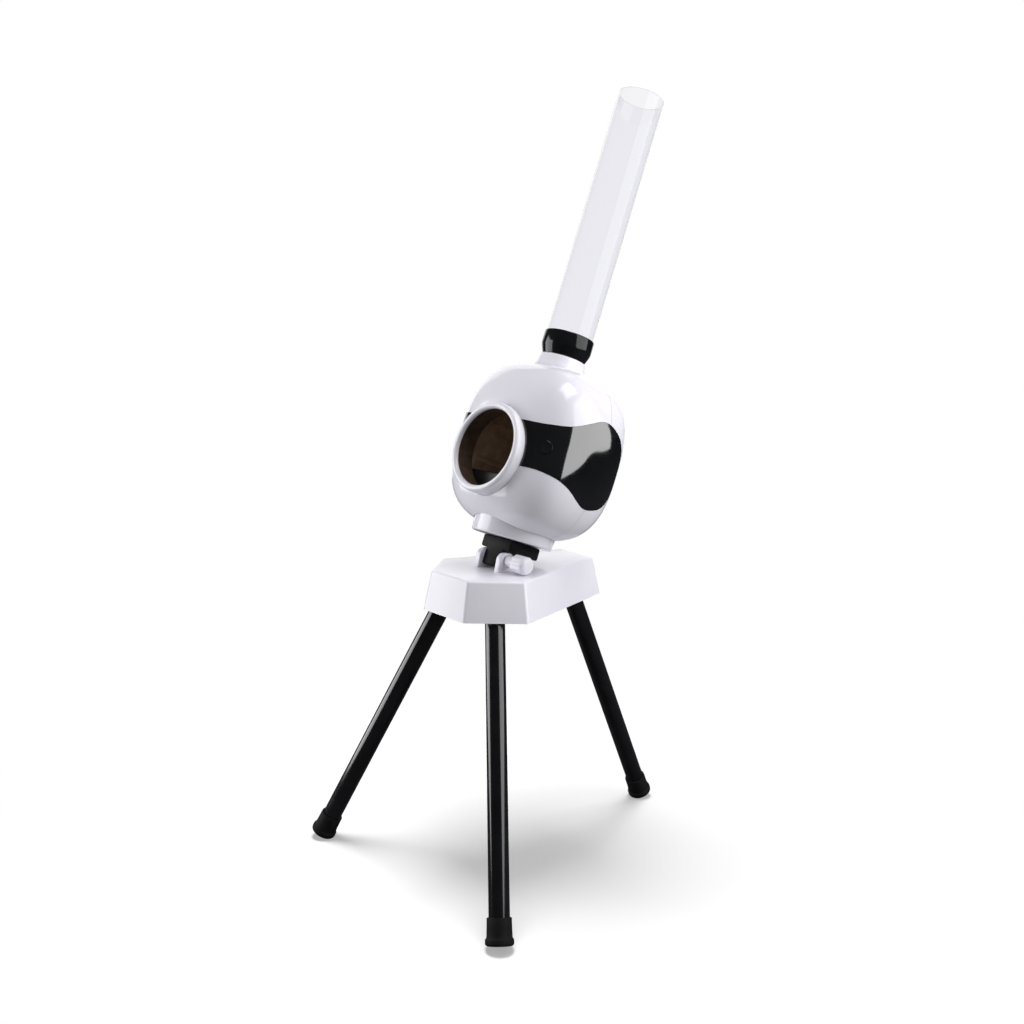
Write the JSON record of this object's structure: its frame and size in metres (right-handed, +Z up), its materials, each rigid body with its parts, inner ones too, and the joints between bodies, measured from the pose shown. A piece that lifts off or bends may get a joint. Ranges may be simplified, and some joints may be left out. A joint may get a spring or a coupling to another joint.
{
  "type": "badminton serving machine",
  "caption": "Free-standing machine that drops shuttlecocks from a clear tube into a tilting round head and throws them out of its mouth, on splayed legs.",
  "frame": {"origin": "on the floor under the middle of the whole machine's outline", "axes": "+Z up, the mouth faces -Y, the clamp knob is on the +X side; the YZ plane is the mirror plane of legs, base and head"},
  "size_m": [0.4506, 0.5308, 1.1336],
  "materials": {
    "white_plastic": "glossy moulded white plastic",
    "black_gloss_plastic": "polished black plastic",
    "black_satin_plastic": "satin black plastic",
    "steel": "zinc-plated steel",
    "black_enamel": "gloss black enamel on steel tube",
    "rubber": "matt black rubber",
    "clear_plastic": "clear polished tube",
    "nylon": "natural nylon",
    "dark_brown_plastic": "dark brown moulded plastic",
    "grey_plastic": "dark grey plastic",
    "board": "circuit board with solder mask",
    "battery_wrap": "shrink film round the cells"
  },
  "bodies": {
    "base": {"base_cover": "white_plastic", "base_floor": "white_plastic", "clamp_bolt": "steel", "clamp_washer": "steel", "base_screw_1": "steel", "base_screw_2": "steel", "base_screw_3": "steel", "base_screw_4": "steel", "leg_socket_right": "white_plastic", "leg_right": "black_enamel", "foot_right": "rubber", "leg_socket_left": "white_plastic", "leg_left": "black_enamel", "foot_left": "rubber", "leg_socket_rear": "white_plastic", "leg_rear": "black_enamel", "foot_rear": "rubber"},
    "head": {"head_skirt": "white_plastic", "front_shell": "white_plastic", "rear_shell": "white_plastic", "mouth_ring": "white_plastic", "neck_ring": "white_plastic", "visor_right": "black_gloss_plastic", "visor_left": "black_gloss_plastic", "tube_collar": "black_gloss_plastic", "tilt_bracket": "black_satin_plastic", "power_switch": "black_satin_plastic", "feed_throat": "black_satin_plastic", "battery_box": "black_satin_plastic", "bracket_screw_1": "steel", "bracket_screw_2": "steel", "shell_screw_1": "steel", "shell_screw_2": "steel", "shell_screw_3": "steel", "shell_screw_4": "steel", "striker_spring": "steel", "gear_frame_inner": "steel", "gear_frame_outer": "steel", "drive_motor": "steel", "launch_chamber": "dark_brown_plastic", "mouth_sleeve": "dark_brown_plastic", "mouth_sill": "grey_plastic", "circuit_board": "board", "battery_pack": "battery_wrap"},
    "knob": {"clamp_knob": "white_plastic"},
    "button": {"power_button": "black_gloss_plastic"},
    "tube": {"hopper_tube": "clear_plastic"},
    "striker": {"striker_flap": "grey_plastic", "striker_axle": "steel", "striker_gear": "nylon"},
    "pinion": {"motor_pinion": "nylon"},
    "gate_right": {"feed_gate_right": "nylon"},
    "gate_left": {"feed_gate_left": "nylon"},
    "door": {"battery_door": "white_plastic"}
  },
  "joints": [
    {"name": "head_tilt", "type": "hinge", "parent": "base", "child": "head", "pos_m": [0, -0.08569, 0.4592], "axis": [1, 0, 0], "range_deg": [-4, 25]},
    {"name": "knob_turn", "type": "hinge", "parent": "base", "child": "knob", "pos_m": [0, -0.08569, 0.4592], "axis": [1, 0, 0], "range_deg": [-180, 180]},
    {"name": "button_press", "type": "slide", "parent": "head", "child": "button", "axis": [-0.6025, 0.7462, -0.2831], "range_m": [0, 0.0012], "stiffness_N_per_m": 600},
    {"name": "tube_lift", "type": "slide", "parent": "head", "child": "tube", "axis": [0, 0.3559, 0.9345], "range_m": [0, 0.05]},
    {"name": "striker_swing", "type": "hinge", "parent": "head", "child": "striker", "pos_m": [0, -0.07831, 0.5741], "axis": [1, 0, 0], "range_deg": [0, 50], "stiffness_Nm_per_rad": 0.05, "springref_deg": -28.65},
    {"name": "pinion_turn", "type": "hinge", "parent": "head", "child": "pinion", "pos_m": [0.063, -0.05451, 0.57375], "axis": [1, 0, 0], "range_deg": [-120, 0]},
    {"name": "gate_right_turn", "type": "hinge", "parent": "head", "child": "gate_right", "pos_m": [0.044, 0.02957, 0.64944], "axis": [0, 0.3559, 0.9345], "range_deg": [0, 40]},
    {"name": "gate_left_turn", "type": "hinge", "parent": "head", "child": "gate_left", "pos_m": [-0.044, 0.02957, 0.64944], "axis": [0, 0.3559, 0.9345], "range_deg": [-40, 0]},
    {"name": "door_lift", "type": "slide", "parent": "head", "child": "door", "axis": [0, 0.9345, -0.3559], "range_m": [0, 0.03]}
  ],
  "couplings": [
    {"joint": "pinion_turn", "follows": "striker_swing", "ratio": -2.4},
    {"joint": "gate_left_turn", "follows": "gate_right_turn", "ratio": -1}
  ]
}
